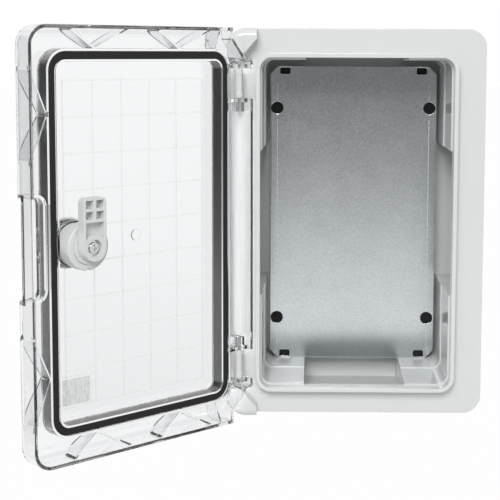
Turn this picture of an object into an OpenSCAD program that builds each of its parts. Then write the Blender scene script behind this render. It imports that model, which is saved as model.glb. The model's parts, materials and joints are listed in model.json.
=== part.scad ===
// Plastic electrical cabinet: a moulded grey wall box with a steel mounting plate,
// a clear hinged door with a gasket, and a quarter-turn cam lock.
// The front faces -Y, the hinge is on the left (-X), Z is up and the wall face is Y = 0.
// The door stands open, as it is used while the cabinet is being fitted out.

/* [Cabinet] */
// Overall width
width = 198; // [194:1:210]
// Overall height
height = 300; // [290:1:330]
// Overall depth from the closed door's face to the wall
depth = 130; // [125:1:150]
// Radius of the outer corners
corner_r = 14; // [13:1:16]
// Thickness of the moulded walls
wall = 3; // [2.6:0.2:3.4]

/* [Front flange and rim] */
// Width of the flange from the cabinet's sides to the mouth
flange_side = 25; // [24.5:0.5:28]
// Width of the flange from the cabinet's ends to the mouth
flange_end = 22; // [21:0.5:25]
// Corner radius of the mouth
open_r = 9; // [7:1:10]
// Thickness of the sealing rim
rim_t = 3.2; // [2.8:0.2:3.6]
// Height of the sealing rim above the flange
rim_h = 10; // [9:0.5:11]

/* [Corner blocks] */
// Width of the flat cable-entry bays in the top and bottom walls
bay_w = 79; // [70:1:86]
// Height of the flat cable-entry bays in the side walls
bay_h = 113; // [90:1:122]
// How far the blocks stand inside the rim
ledge = 1.4; // [1:0.1:1.8]
// Wall of the hollow corner blocks
block_wall = 2.5; // [2:0.1:3]
// Depth behind the flange at which the blocks step in
step_at = 48; // [40:1:56]
// Size of that step
step_in = 0.9; // [0.5:0.1:1.2]

/* [Back] */
// Depth of the open ribbed space behind the back panel
foot_h = 2; // [1.6:0.2:3]
// Thickness of the stiffening ribs on the back
rib_t = 2.4; // [2:0.2:3]
// Distance of the wall screws inside the plate's side edges
fix_in = 5.8; // [5.6:0.1:7]
// Spacing of the wall screws up
fix_h = 177; // [160:1:186]
// Diameter of the wall screw holes
fix_d = 5.2; // [4.2:0.1:6]
// Diameter of the wells that reach the wall screws
well_d = 9.6; // [9:0.2:9.8]

/* [Mounting plate] */
// Room left between the plate's edges and the mouth
plate_gap = 5; // [4.5:0.5:6]
// Sheet thickness
plate_t = 1.5; // [1:0.1:2]
// Cut across the plate's corners
plate_cut = 6.5; // [4:0.5:8]
// Distance from the flange back to the plate's face
plate_at = 80; // [72:1:84]
// Diameter of the plate's access holes
access_d = 10; // [9:0.2:10.4]
// Length of the plate's fixing slots
slot_l = 8.4; // [7:0.2:9]
// Width of the plate's fixing slots
slot_w = 5.4; // [4.4:0.2:5.6]

/* [Corner lugs and hinge] */
// Width of the raised lugs at the hinge-side corners
lug_w = 22.7; // [20:0.5:23]
// Straight length of a lug's inner side
lug_drop = 7.8; // [6:0.2:9]
// Full height of a lug
lug_h = 21.7; // [20:0.1:22]
// Slope of a lug's inner side
lug_ang = 40; // [35:1:43]
// Rounding of a lug's outer edges
lug_f = 6; // [4:0.5:8]
// Distance of the hinge axis from the cabinet's left side
axis_in = 8.7; // [8.4:0.1:9]
// Distance of the hinge axis in front of the flange
axis_out = 12.2; // [12.2:0.1:12.4]
// Height of each hinge knuckle
knuckle_h = 22; // [16:0.5:26]
// Distance of each knuckle's middle from the cabinet's end
knuckle_in = 41.6; // [41:0.2:54]
// Diameter of the hinge pins
pin_d = 3; // [2.6:0.1:3]

/* [Door] */
// How far the door stands open
door_open = 136; // [100:1:150]
// Depth of the door in front of the hinge axis
face_out = 11; // [10:0.2:11]
// Thickness of the door's face
face_t = 2.5; // [2.2:0.1:2.6]
// Thickness of the door's skirt
skirt_t = 2.5; // [2:0.1:2.8]
// Rounding of the door's front edge
door_f = 8.8; // [7:0.2:9]
// Width of the gasket
gasket_w = 5.5; // [5.2:0.1:5.6]
// How far the channel's walls stand above the gasket
lip = 0.8; // [0.4:0.1:1]
// Thickness of the zigzag ribs
zig_t = 1.4; // [1:0.1:1.8]
// Distance of the zigzag ribs inside the skirt's edge
rib_back = 3; // [2:0.5:5]
// Height of the finger grip
grip_h = 74; // [60:1:80]
// Depth of the finger grip
grip_d = 10; // [8:0.5:10.5]

/* [Lock] */
// Distance of the lock's axis inside the mouth's edge
lock_in = 18; // [17.6:0.2:20]
// Diameter of the lock's round drum
drum_d = 32.8; // [31:0.2:33.2]
// Diameter of the drum's foot on the door
drum_foot_d = 28.8; // [27.6:0.2:28.8]
// Diameter of the lock's head on the outside
head_d = 36; // [33:0.5:38]
// Diameter of the lock's barrel
barrel_d = 24; // [23:0.2:25]
// Diameter of the rotor
rotor_d = 17; // [16:0.2:17.6]
// Width of the cam
cam_w = 18.4; // [17.6:0.2:19.6]
// Reach of the cam from the lock's axis
cam_reach = 34.5; // [33.5:0.5:36]
// Thickness of the cam
cam_t = 7; // [6.6:0.2:8]

/* [Hidden] */
$fn = 64;
e = 0.5;

// Clearances that tie the pieces together
lug_gap = 1;
flare = 0.65;
flange_gap = 0.5;
seal_gap = 0.4;
knuckle_gap = 0.3;
pin_play = 0.05;
rotor_play = 0.05;
cam_gap = 0.4;
screw_play = 0.2;

// Planes along Y
door_t = axis_out + face_out;
fy = door_t - depth;
door_y = -depth;
inner_y = door_y + face_t;
back_t = wall;
back_y = -foot_h - back_t;
plate_y = fy + plate_at;
stand_y = plate_y + plate_t;
skirt_y = fy - flange_gap;
shelf_t = wall;
shelf_y = fy + shelf_t;

// The hinge axis and the door's hinge-side edge
axis_x = axis_in - width / 2;
axis_y = fy - axis_out;
edge_y = axis_y + 7;
lug_y = axis_y - 2.3;
flare_y = axis_y + 0.3;
knuckle_z = height / 2 - knuckle_in;

// Mouth inside the sealing rim
open_w = width - 2 * flange_side;
open_h = height - 2 * flange_end;

// Inside of the corner blocks
block_w = open_w - 2 * ledge;
block_h = open_h - 2 * ledge;
block_r = open_r - ledge;
lining_h = block_h - 2 * step_in;

// The plate passes through the mouth and rests on the lower corner blocks
plate_w = open_w - 2 * plate_gap;
plate_h = open_h - 2 * plate_gap;
fix_w = plate_w - 2 * fix_in;
slot_x = plate_w / 2 - 12.4;
slot_z = plate_h / 2 - slot_w / 2 - 1.1;
plate_z = (plate_h - lining_h) / 2;

// Pads, wells and pillars behind the plate
well_wall = 1;
pad_d = 14;
pillar_d = slot_w + 2.6;
pilot_d = 5.6;
pilot_l = 12;

// Gasket channel, centred on the rim
seal_w = open_w + rim_t;
seal_h = open_h + rim_t;
seal_r = open_r + rim_t / 2;
chan_in = 1.6;
chan_out = 1.8;
gasket_t = door_t - face_t - rim_h - seal_gap;
channel_h = gasket_t + lip;
chan_edge = seal_w / 2 + gasket_w / 2 + chan_out;
chan_top = seal_h / 2 + gasket_w / 2 + chan_out;

// Zigzag ribs: middles counted from the door's edges, and half of each zigzag's run
zig_x = width / 2 - 57.5;
zig_pitch = 73.5;
zig_run = 25.5;
zig_z = height / 2 - 60;
zig_rise = 34;
stop_x = 33.5 - width / 2;

// Lock axis and planes along Y
lock_x = open_w / 2 - lock_in;
seal_t = 0.8;
head_t = 2.6;
head_y = door_y - seal_t - head_t;
cam_y = shelf_y + cam_gap;
barrel_y = shelf_y;
seat_t = 2.4;
drive_y = cam_y + seat_t - screw_play;
washer_t = 0.8;
washer_d = 11;
square_s = 8;
insert_d = 6;
insert_l = 11;
screw_d = 4;
screw_head = 8;
boss_t = 2;
ring_t = 1.4;
ring_h = 6;

// Rounded rectangle, centred
module rrect(w, h, r) {
  square([w - 2 * r, h], center = true);
  square([w, h - 2 * r], center = true);
  for (sx = [-1, 1], sz = [-1, 1])
    translate([sx * (w / 2 - r), sz * (h / 2 - r)])
      circle(r);
}

// Rounded ring of constant width about a rounded rectangle
module rring(w, h, r, grow, shrink) {
  difference() {
    rrect(w + 2 * grow, h + 2 * grow, r + grow);
    rrect(w - 2 * shrink, h - 2 * shrink, r - shrink);
  }
}

// Solid of a front-view outline from y0 forward to y1
module slab(y0, y1) {
  translate([0, y0, 0])
    rotate([90, 0, 0])
      linear_extrude(y0 - y1)
        children();
}

// Round bar along Y from y0 forward to y1
module rod(d, y0, y1) {
  translate([0, y0, 0])
    rotate([90, 0, 0])
      cylinder(d = d, h = y0 - y1);
}

// Section of an edge of radius r and depth d, rounded over by f at the front
module edge_profile(r, f, d) {
  square([r - f, d]);
  square([r, d - f]);
  intersection() {
    translate([r - f, d - f])
      circle(f);
    square([r, d]);
  }
}

// Rounded-rectangle slab whose front edge is rounded over
module pillow(w, h, r, f, y0, y1) {
  slab(y0, y1)
    square([w - 2 * r, h - 2 * r], center = true);
  for (m = [0, 1]) {
    mirror([m, 0, 0])
      translate([w / 2 - r, y0, r - h / 2])
        mirror([0, 1, 0])
          linear_extrude(h - 2 * r)
            edge_profile(r, f, y0 - y1);
    mirror([0, 0, m])
      translate([w / 2 - r, y0, h / 2 - r])
        rotate([0, -90, 0])
          mirror([0, 1, 0])
            linear_extrude(w - 2 * r)
              edge_profile(r, f, y0 - y1);
  }
  for (mx = [0, 1], mz = [0, 1])
    mirror([mx, 0, 0])
      mirror([0, 0, mz])
        translate([w / 2 - r, y0, h / 2 - r])
          rotate([90, 0, 0])
            rotate_extrude(angle = 90)
              edge_profile(r, f, y0 - y1);
}

// Flat bar between two points of an outline
module bar(p, q, t) {
  d = q - p;
  translate(p)
    rotate(atan2(d[1], d[0]))
      translate([-1, -t / 2])
        square([norm(d) + 2, t]);
}

module mirrored_z() {
  children();
  mirror([0, 0, 1])
    children();
}

module at_corners(w, h) {
  for (sx = [-1, 1], sz = [-1, 1])
    translate([sx * w / 2, 0, sz * h / 2])
      children();
}

// Front-view outline of the upper lug, grown by g
module lug_outline(g) {
  x1 = lug_w - width / 2;
  z2 = height / 2 - lug_h;
  polygon([
    [-width, height],
    [x1 + g, height],
    [x1 + g, height / 2 - lug_drop - g * tan(lug_ang / 2)],
    [x1 - (lug_h - lug_drop) * tan(lug_ang) + g * tan(45 - lug_ang / 2), z2 - g],
    [-width, z2 - g]
  ]);
}

// The four corner areas outside the cable-entry bays
module corner_areas(inset) {
  for (sx = [0, 1], sz = [0, 1])
    mirror([sx, 0])
      mirror([0, sz])
        translate([bay_w / 2 + inset, bay_h / 2 + inset])
          square([width, height]);
}

// L-shaped outline of the corner blocks, between an inner and an outer rectangle
module block_outline(grow, outer, inset) {
  intersection() {
    difference() {
      rrect(width - 2 * outer, height - 2 * outer, corner_r - outer);
      rrect(block_w + 2 * grow, block_h + 2 * grow, block_r + grow);
    }
    corner_areas(inset);
  }
}

// One-piece moulded box
module enclosure_body() {
  color([0.86, 0.87, 0.865])
    difference() {
      union() {
        difference() {
          slab(0, fy)
            rrect(width, height, corner_r);
          slab(back_y, shelf_y)
            rrect(width - 2 * wall, height - 2 * wall, corner_r - wall);
          slab(shelf_y + e, fy - e)
            rrect(open_w, open_h, open_r);
          slab(e, -foot_h)
            rrect(width - 2 * wall, height - 2 * wall, corner_r - wall);
        }
        slab(fy + e, fy - rim_h)
          rring(open_w, open_h, open_r, rim_t, 0);
        slab(back_y + e, fy)
          block_outline(0, wall / 2, 0);
        slab(back_y + e, fy + step_at)
          block_outline(-step_in, wall / 2, 0);
        corner_lugs();
        back_ribs();
        at_corners(fix_w, fix_h) {
          rod(well_d + 2 * well_wall, back_y + e, stand_y);
          rod(pad_d, 0, -foot_h - e);
        }
        translate([0, 0, plate_z])
          at_corners(2 * slot_x, 2 * slot_z)
            rod(pillar_d, back_y + e, stand_y);
      }
      slab(e, shelf_y)
        block_outline(block_wall, wall, block_wall);
      at_corners(fix_w, fix_h) {
        rod(well_d, back_y, stand_y - e);
        rod(fix_d, e, back_y - e);
      }
      translate([0, 0, plate_z])
        at_corners(2 * slot_x, 2 * slot_z)
          rod(pilot_d, stand_y + pilot_l, stand_y - e);
      mirrored_z()
        translate([axis_x, 0, knuckle_z])
          slab(shelf_y + e, fy - e)
            tenon_outline();
    }
}

// Raised blocks that close the cabinet's corners beside the hinges
module corner_lugs() {
  mirrored_z()
    intersection() {
      pillow(width, height, corner_r, lug_f, fy + e, lug_y);
      slab(0, lug_y - e)
        lug_outline(0);
    }
}

// Ribs and pads that stand on the wall
module back_ribs() {
  for (s = [-1, 1])
    translate([s * bay_w / 3 - rib_t / 2, -foot_h - e, wall / 2 - height / 2])
      cube([rib_t, foot_h + e, height - wall]);
  for (s = [-1, 0, 1])
    translate([wall / 2 - width / 2, -foot_h - e, s * bay_h / 3 - rib_t / 2])
      cube([width - wall, foot_h + e, rib_t]);
}

// Galvanised sheet that carries the equipment
module mounting_plate() {
  color([0.68, 0.70, 0.71])
    translate([0, 0, plate_z])
      difference() {
        slab(stand_y, plate_y)
          difference() {
            square([plate_w, plate_h], center = true);
            for (sx = [-1, 1], sz = [-1, 1])
              translate([sx * plate_w / 2, sz * plate_h / 2])
                rotate(45)
                  square(plate_cut * sqrt(2), center = true);
          }
        at_corners(fix_w, fix_h)
          rod(access_d, stand_y + e, plate_y - e);
        at_corners(2 * slot_x, 2 * slot_z)
          slab(stand_y + e, plate_y - e)
            rrect(slot_l, slot_w, 1.4);
      }
}

module tenon_outline() {
  square([3.6, knuckle_h - 6], center = true);
}

// Clip-in knuckle: a collared barrel on a web, with a tenon that snaps behind the flange
module hinge_knuckle() {
  barrel_d = 6;
  collar_d = 6.6;
  collar_h = 4.2;
  translate([axis_x, 0, 0])
    difference() {
      union() {
        translate([0, axis_y, -knuckle_h / 2])
          cylinder(d = barrel_d, h = knuckle_h);
        for (s = [-1, 1])
          translate([0, axis_y, s * (knuckle_h - collar_h) / 2])
            cylinder(d = collar_d, h = collar_h, center = true);
        translate([-2.4, axis_y, 1 - knuckle_h / 2])
          cube([4.8, axis_out, knuckle_h - 2]);
        slab(shelf_y + 2, fy - e)
          tenon_outline();
        slab(shelf_y + 1.6, shelf_y)
          square([5, knuckle_h - 10], center = true);
      }
      translate([0, axis_y, -knuckle_h])
        cylinder(d = pin_d + 2 * pin_play, h = 2 * knuckle_h);
    }
}

module hinge_knuckle_upper() {
  color([0.84, 0.85, 0.845])
    translate([0, 0, knuckle_z])
      hinge_knuckle();
}

module hinge_knuckle_lower() {
  color([0.84, 0.85, 0.845])
    mirror([0, 0, 1])
      translate([0, 0, knuckle_z])
        hinge_knuckle();
}

// Everything on the door is drawn closed and swung open about the hinge axis
module on_door() {
  translate([axis_x, axis_y, 0])
    rotate([0, 0, -door_open])
      translate([-axis_x, -axis_y, 0])
        children();
}

// Lengths of the door's pin bosses outside and inside a knuckle
ear_out = 3;
ear_in = 10;
notch_h = knuckle_h + 2 * knuckle_gap;

module hinge_pin() {
  translate([axis_x, axis_y, knuckle_z - notch_h / 2 - ear_in])
    cylinder(d = pin_d, h = notch_h + ear_in + ear_out);
}

module hinge_pin_upper() {
  color([0.75, 0.76, 0.77])
    on_door()
      hinge_pin();
}

module hinge_pin_lower() {
  color([0.75, 0.76, 0.77])
    on_door()
      mirror([0, 0, 1])
        hinge_pin();
}

// Space on the lug's side of a plane that stands g away and leans outward forward of y0
module beside(g, y0, y1) {
  linear_extrude(2 * height, center = true)
    polygon([[-width, e], [g, e], [g, y0], [g + flare * (y0 - y1), y1], [-width, y1]]);
}

// Room about the upper lug, flared towards the door's face so that the open door clears the lug
module lug_room(g, y0, y1) {
  x1 = lug_w - width / 2;
  intersection() {
    translate([x1, 0, 0])
      beside(g, y0, y1);
    translate([x1, 0, height / 2 - lug_drop])
      rotate([0, lug_ang, 0])
        beside(g, y0, y1);
    translate([0, 0, height / 2 - lug_h])
      rotate([0, 90, 0])
        beside(g, y0, y1);
  }
}

// Hollow of the door, stepped round the corner lugs
module door_hollow() {
  slant = skirt_t * (sqrt(1 + flare * flare) - 1) / flare;
  difference() {
    pillow(width - 2 * skirt_t, height - 2 * skirt_t, corner_r - skirt_t, door_f - face_t, 0, inner_y);
    mirrored_z()
      lug_room(lug_gap + skirt_t, flare_y + slant, inner_y);
  }
}

// Space above the ribs, which slope up from the channel's wall at a to the skirt at b
module above_ribs(a, b) {
  low_y = inner_y + channel_h;
  high_y = skirt_y - rib_back;
  linear_extrude(2 * height, center = true)
    polygon([[a - chan_out, low_y], [a, low_y], [b, high_y], [b, high_y + e], [a - chan_out, high_y + e]]);
}

// Zigzag ribs between the skirt and the gasket channel
module zigzags() {
  zx = width / 2 - skirt_t / 2;
  zz = height / 2 - skirt_t / 2;
  difference() {
    slab(skirt_y - rib_back, inner_y - e) {
      for (s = [-1, 1]) {
        for (cx = [zig_x - zig_pitch, zig_x], d = [-1, 1])
          bar([cx, s * chan_top], [cx + d * zig_run, s * zz], zig_t);
        for (d = [-1, 1])
          bar([chan_edge, s * zig_z], [zx, s * zig_z + d * zig_rise], zig_t);
        bar([stop_x, s * chan_top], [stop_x, s * zz], zig_t);
      }
    }
    above_ribs(chan_edge, zx);
    for (a = [-90, 90])
      rotate([0, a, 0])
        above_ribs(chan_top, zz);
    slab(0, door_y)
      grip_outline(boss_t);
  }
}

// Pin bosses at both ends of a knuckle's notch
module pin_bosses() {
  for (b = [[knuckle_z + notch_h / 2, ear_out], [knuckle_z - notch_h / 2 - ear_in, ear_in]]) {
    translate([axis_x - 3.4, door_y, b[0]])
      cube([6.8, axis_y + 3.2 - door_y, b[1]]);
    translate([-width / 2 + skirt_t / 2, inner_y - e, b[1] == ear_in ? knuckle_z - notch_h / 2 - ear_out : b[0]])
      cube([width / 2 - chan_edge - skirt_t / 2 + e, axis_y + 3.2 - inner_y + e, ear_out]);
  }
}

// Finger grip: a pocket in the door's face that opens at its free edge
module grip_outline(t) {
  x0 = chan_edge + boss_t - t;
  translate([x0 + 20, 0])
    rrect(40, grip_h + 2 * t - 2 * boss_t, 6 + t);
}

// What stands in the door's hollow
module door_inside() {
  slab(inner_y + channel_h, inner_y - e) {
    rring(seal_w, seal_h, seal_r, gasket_w / 2 + chan_out, -gasket_w / 2);
    rring(seal_w, seal_h, seal_r, -gasket_w / 2, gasket_w / 2 + chan_in);
  }
  zigzags();
  slab(door_y + grip_d + boss_t, inner_y - e)
    grip_outline(boss_t);
  mirrored_z()
    pin_bosses();
  translate([lock_x, 0, 0])
    difference() {
      rod(drum_foot_d + 1 + 2 * ring_t, inner_y + ring_h, inner_y - e);
      rod(drum_foot_d + 1, inner_y + ring_h + e, inner_y - 2 * e);
    }
}

module door_cover() {
  color([0.80, 0.86, 0.90, 0.45])
    on_door()
      difference() {
        pillow(width, height, corner_r, door_f, skirt_y, door_y);
        difference() {
          door_hollow();
          door_inside();
        }
        translate([-width, edge_y, -height / 2])
          cube([width + axis_x + 2.4, depth, height]);
        slab(door_y + grip_d, door_y - e)
          grip_outline(0);
        translate([lock_x, 0, 0])
          rod(barrel_d, inner_y + e, door_y - e);
        mirrored_z() {
          lug_room(lug_gap, flare_y, door_y - e);
          translate([-width, door_y - e, knuckle_z - notch_h / 2])
            cube([width + axis_x + 4.2, depth, notch_h]);
          translate([axis_x, axis_y, knuckle_z - notch_h / 2 - ear_in - e])
            cylinder(d = pin_d, h = notch_h + ear_in + ear_out + 2 * e);
        }
      }
}

// Foamed strip in the door's channel
module door_gasket() {
  color([0.12, 0.12, 0.13])
    on_door()
      slab(inner_y + gasket_t, inner_y)
        rring(seal_w, seal_h, seal_r, gasket_w / 2, gasket_w / 2);
}

module on_lock() {
  on_door()
    translate([lock_x, 0, 0])
      children();
}

flange_d = rotor_d + 5;
flange_t = 1.4;

// Headed barrel through the door
module lock_housing() {
  color([0.80, 0.81, 0.81])
    on_lock()
      difference() {
        union() {
          rod(head_d, head_y + head_t, head_y + 1);
          rod(head_d - 2, head_y + head_t, head_y);
          rod(barrel_d, barrel_y, head_y + 1);
          translate([0, head_y + 1, 0])
            rotate([90, 0, 0])
              rotate_extrude()
                translate([head_d / 2 - 1, 0])
                  circle(1);
        }
        rod(rotor_d + 2 * rotor_play, barrel_y + e, head_y - e);
        rod(flange_d + 0.8, head_y + flange_t + 0.3, head_y - 2);
      }
}

// Flat ring between the lock's head and the door
module lock_seal() {
  color([0.10, 0.10, 0.11])
    on_lock()
      difference() {
        rod(head_d - 3, door_y, door_y - seal_t);
        rod(barrel_d, door_y + e, door_y - seal_t - e);
      }
}

// Round drum nut that clamps the lock from inside, on a narrower foot
module lock_drum_nut() {
  front_y = barrel_y - 1;
  foot_y = inner_y + channel_h + 1.5;
  color([0.83, 0.84, 0.835])
    on_lock()
      difference() {
        union() {
          rod(drum_d, front_y - 1, foot_y);
          rod(drum_d - 2, front_y, foot_y);
          rod(drum_foot_d, front_y - 1, inner_y);
          translate([0, front_y - 1, 0])
            rotate([90, 0, 0])
              rotate_extrude()
                translate([drum_d / 2 - 1, 0])
                  circle(1);
        }
        rod(barrel_d, barrel_y, inner_y - e);
        for (a = [90, 270])
          rotate([0, a, 0])
            translate([drum_d / 2 + 1, 0, 0])
              rod(4.4, barrel_y, foot_y - e);
      }
}

// Turning core with the key recess in front and a square for the cam behind
module lock_rotor() {
  groove_y = (head_y + barrel_y) / 2;
  color([0.30, 0.31, 0.32])
    on_lock()
      difference() {
        union() {
          rod(flange_d, head_y + flange_t, head_y);
          rod(rotor_d, cam_y, head_y);
          translate([-square_s / 2, cam_y - e, -square_s / 2])
            cube([square_s, drive_y - cam_y + e, square_s]);
        }
        translate([0, groove_y, 0])
          rotate([90, 0, 0])
            rotate_extrude()
              translate([rotor_d / 2, 0])
                square([2.4, 2], center = true);
        difference() {
          union() {
            rod(8.4, head_y + 9, head_y - e);
            for (s = [-1, 1])
              translate([-1.4, head_y - e, s * 4.2 - 1.6])
                cube([2.8, 9 + e, 3.2]);
          }
          rod(3.4, head_y + 10, head_y - 2 * e);
        }
        rod(insert_d, drive_y + e, drive_y - insert_l);
      }
}

// Ring in the rotor's groove
module rotor_o_ring() {
  color([0.10, 0.10, 0.11])
    on_lock()
      translate([0, (head_y + barrel_y) / 2, 0])
        rotate([90, 0, 0])
          rotate_extrude()
            translate([rotor_d / 2 - 1.2, -0.9])
              square([1.2, 1.8]);
}

// Threaded insert that takes the cam screw
module rotor_insert() {
  color([0.78, 0.64, 0.32])
    on_lock()
      difference() {
        rod(insert_d, drive_y, drive_y - insert_l);
        rod(screw_d, drive_y + e, drive_y - insert_l + 1);
      }
}

// Tongue that hooks behind the flange, with deep moulded pockets and a recess for its screw
module lock_cam() {
  half = cam_w / 2;
  corner = 3.5;
  side = 2;
  web = 2.3;
  floor_t = 1.2;
  pocket_w = (cam_w - 2 * side - web) / 2;
  pocket_h = 5.2;
  low_z = cam_reach - side - 2 * (pocket_h + web);
  color([0.82, 0.83, 0.825])
    on_lock()
      difference() {
        slab(cam_y + cam_t, cam_y) {
          circle(half);
          translate([-half, 0])
            square([cam_w, cam_reach - corner]);
          translate([corner - half, 0])
            square([cam_w - 2 * corner, cam_reach]);
          for (s = [-1, 1])
            translate([s * (half - corner), cam_reach - corner])
              circle(corner);
        }
        translate([-square_s / 2, cam_y - e, -square_s / 2])
          cube([square_s, seat_t + 2 * e, square_s]);
        rod(washer_d + 2 * screw_play, cam_y + cam_t + e, cam_y + seat_t);
        for (s = [-1, 1], n = [1, 2])
          translate([(s * (pocket_w + web) - pocket_w) / 2, cam_y + floor_t,
              cam_reach - side - n * pocket_h - (n - 1) * web])
            cube([pocket_w, cam_t, pocket_h]);
        slab(cam_y + cam_t + e, cam_y + floor_t)
          difference() {
            translate([side - half, 0])
              square([cam_w - 2 * side, low_z]);
            circle(half);
          }
      }
}

module cam_washer() {
  color([0.72, 0.73, 0.74])
    on_lock()
      difference() {
        rod(washer_d, cam_y + seat_t + washer_t, cam_y + seat_t);
        rod(screw_d + 2 * screw_play, cam_y + seat_t + washer_t + e, cam_y + seat_t - e);
      }
}

// Pan-head cross-recess screw
module cam_screw() {
  seat_y = cam_y + seat_t + washer_t;
  head_h = 1.4;
  dome = 0.9;
  color([0.80, 0.80, 0.81])
    on_lock()
      difference() {
        union() {
          rod(screw_d, seat_y + e, seat_y - 9);
          rod(screw_head, seat_y + head_h, seat_y);
          rod(screw_head - 2 * dome, seat_y + head_h + dome, seat_y);
          translate([0, seat_y + head_h, 0])
            rotate([90, 0, 0])
              rotate_extrude()
                translate([screw_head / 2 - dome, 0])
                  circle(dome);
        }
        for (a = [0, 90])
          rotate([0, a, 0])
            translate([-2.4, seat_y + 0.7, -0.55])
              cube([4.8, 3, 1.1]);
      }
}

enclosure_body();
mounting_plate();
hinge_knuckle_upper();
hinge_knuckle_lower();
hinge_pin_upper();
hinge_pin_lower();
door_cover();
door_gasket();
lock_housing();
lock_seal();
lock_drum_nut();
lock_rotor();
rotor_o_ring();
rotor_insert();
lock_cam();
cam_washer();
cam_screw();
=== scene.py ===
"""Looks of a plastic electrical cabinet: its finishes, rounded edges, window marks and stage."""
import json
import math

import bmesh
import bpy
from bpy.props import FloatProperty, FloatVectorProperty, IntProperty, PointerProperty
from mathutils import Matrix, Vector
from mathutils.bvhtree import BVHTree

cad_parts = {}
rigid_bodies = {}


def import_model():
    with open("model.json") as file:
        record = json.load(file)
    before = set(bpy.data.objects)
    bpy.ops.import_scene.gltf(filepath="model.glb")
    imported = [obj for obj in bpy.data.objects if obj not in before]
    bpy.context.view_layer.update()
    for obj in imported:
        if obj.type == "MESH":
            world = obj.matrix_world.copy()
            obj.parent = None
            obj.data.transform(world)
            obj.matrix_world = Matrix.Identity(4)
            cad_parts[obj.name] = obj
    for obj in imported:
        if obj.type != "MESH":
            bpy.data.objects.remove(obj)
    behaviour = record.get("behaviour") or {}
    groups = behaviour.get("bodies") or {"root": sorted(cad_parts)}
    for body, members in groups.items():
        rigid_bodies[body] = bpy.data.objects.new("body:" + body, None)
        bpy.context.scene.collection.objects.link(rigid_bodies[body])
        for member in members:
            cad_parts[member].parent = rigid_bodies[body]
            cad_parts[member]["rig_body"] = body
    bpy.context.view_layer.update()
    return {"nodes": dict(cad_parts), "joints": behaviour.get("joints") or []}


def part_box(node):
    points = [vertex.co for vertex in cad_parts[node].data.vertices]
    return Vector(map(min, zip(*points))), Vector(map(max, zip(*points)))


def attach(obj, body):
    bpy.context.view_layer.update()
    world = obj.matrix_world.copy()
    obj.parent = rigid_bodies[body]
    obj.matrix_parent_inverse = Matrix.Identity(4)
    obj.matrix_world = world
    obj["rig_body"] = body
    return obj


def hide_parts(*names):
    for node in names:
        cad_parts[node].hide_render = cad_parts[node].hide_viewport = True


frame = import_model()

bl_info = {
    "name": "Plastic Electrical Cabinet",
    "version": (1, 0, 0),
    "blender": (4, 5, 0),
    "location": "3D View > Sidebar > Cabinet",
    "description": "Finishes the cabinet's box, plate, clear door and lock, and sets its stage",
    "category": "Object",
}

MM = 0.001
NODES = frame["nodes"]
HINGE = next(joint for joint in frame["joints"] if joint["name"] == "door_hinge")
WELD = 1e-6
FLAT = math.radians(0.5)
SHARP = math.radians(28)
SMOOTH = math.radians(40)
STRAY_SHARE = 0.9

WHITE = (1, 1, 1, 1)
CLEAR_TINT = (0.91, 0.918, 0.926, 1)
# painted shade: black of the caps that stand for the shadowed wells and bores behind the plate's holes and
# slots
HOLE_SHADE_BLACK = (0.007, 0.007, 0.0075)
SEAL_BLACK = (0.016, 0.016, 0.017)
ROTOR_DARK = (0.05, 0.051, 0.054)
PIN_STEEL = (0.62, 0.63, 0.64)
ZINC = (0.78, 0.79, 0.80)
BRASS = (0.72, 0.53, 0.22)
# painted highlight and painted shade: the level lines and the field's frame are painted white as if lit
# from above, the upright lines grey as if shaded
LINE_HIGHLIGHT_WHITE = (0.98, 0.985, 0.99)
UPRIGHT_SHADE_GREY = (0.86, 0.87, 0.88)
# painted shade: grey of the gate step, laid on thickly on one side of the ring
GATE_SHADE_GREY = (0.16, 0.165, 0.17)
FIELD_GREY = (0.55, 0.55, 0.56)

PIN_EDGE = 0.2 * MM
SCREW_EDGE = 0.12 * MM
WASHER_EDGE = 0.1 * MM
MARK_HEIGHT = 0.04 * MM
MARK_GAP = 0.06 * MM
GATE_MIDDLE = 0.5 * MM
GATE_INSIDE = 0.4 * MM
GATE_OUTSIDE = 0.3 * MM
GATE_HEIGHT = 0.1 * MM
FIELD_X = (41 * MM, 64 * MM)
FIELD_Z = (-114.5 * MM, -96 * MM)
FRAME_GAP = 1.6 * MM
FRAME_WIDTH = 0.7 * MM
FRAME_CORNER = 2.5 * MM
SCRIBE_COUNT = 44
SCRIBE_START = 13 * MM
SCRIBE_ENDS = 24 * MM
SCRIBE_WIDTH = 0.35 * MM
SCRIBE_SHARE = 0.82
SCRIBE_PROUD = 0.01 * MM
HOLE_ROOM = 7.6 * MM
CAP_INSET = 0.84
CAP_HOLLOW = 0.5
SLOT_CORNER = 0.262

REACH = 40.0
SCREEN_FRONT = -3.0
SCREEN_END = 0.9
SCREEN_ASIDE = 2.6
SCREEN_FOOT = -0.98
SCREEN_TOP = 2.6
DIM_TONES = (
    (0.0, 1.0), (0.18, 1.0), (0.35, 0.86), (0.52, 0.46), (0.64, 0.34), (0.75, 0.18), (1.0, 0.14))
PALE_TONES = ((0.0, 0.15), (0.5, 0.85), (0.8, 1.0))
FLOOR_GLOW = 0.98
KEY_PLACE = (-0.25, -2.07, 1.16)
KEY_AIM = (-0.03, -0.1, 0)
KEY_SIZE = 0.88
CAMERA_PLACE = (-35.7 * MM, -1079.3 * MM, 134.6 * MM)
CAMERA_YAW = math.radians(-0.453)
CAMERA_PITCH = math.radians(5.924)
CAMERA_ROLL = math.radians(0.281)
CAMERA_SHIFT = (-0.1, -0.14)
GLOSSY_BOUNCES = 12


def swing():
    """Matrix that takes a point of the shut door to where the open door has it."""
    about = Matrix.Rotation(math.radians(-HINGE["range_deg"][0]), 4, Vector(HINGE["axis"]))
    pivot = Matrix.Translation(HINGE["pos_m"])
    return pivot @ about @ pivot.inverted()


OPEN = swing()
SHUT = OPEN.inverted()


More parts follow.
